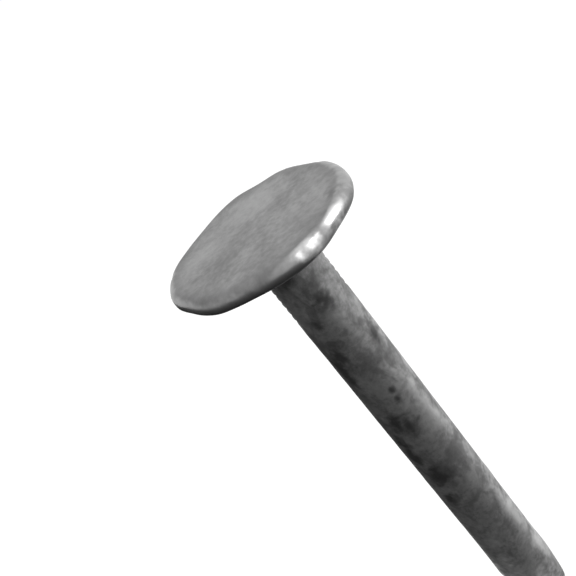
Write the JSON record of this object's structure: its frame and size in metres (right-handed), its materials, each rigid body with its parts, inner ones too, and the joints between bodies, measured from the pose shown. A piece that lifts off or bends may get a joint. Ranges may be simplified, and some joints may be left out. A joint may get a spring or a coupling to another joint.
{
  "type": "nail",
  "caption": "Hot-dip galvanised roofing nail with a wide thin flat head, grip marks under the head and a four-sided point.",
  "frame": {"origin": "on the shank's axis, in the plane of the head's underside, which bears on the fixed sheet", "axes": "+Z along the nail towards the head, so the shank and point lie at negative Z; the head's centre is 0.4 mm off the axis towards -X"},
  "size_m": [0.0102, 0.0104, 0.0327],
  "materials": {
    "galvanised_head": "matte",
    "galvanised_wire": "satin"
  },
  "bodies": {
    "root": {"head": "galvanised_head", "neck": "galvanised_wire", "grip": "galvanised_wire", "shank": "galvanised_wire", "point": "galvanised_wire"}
  },
  "joints": []
}
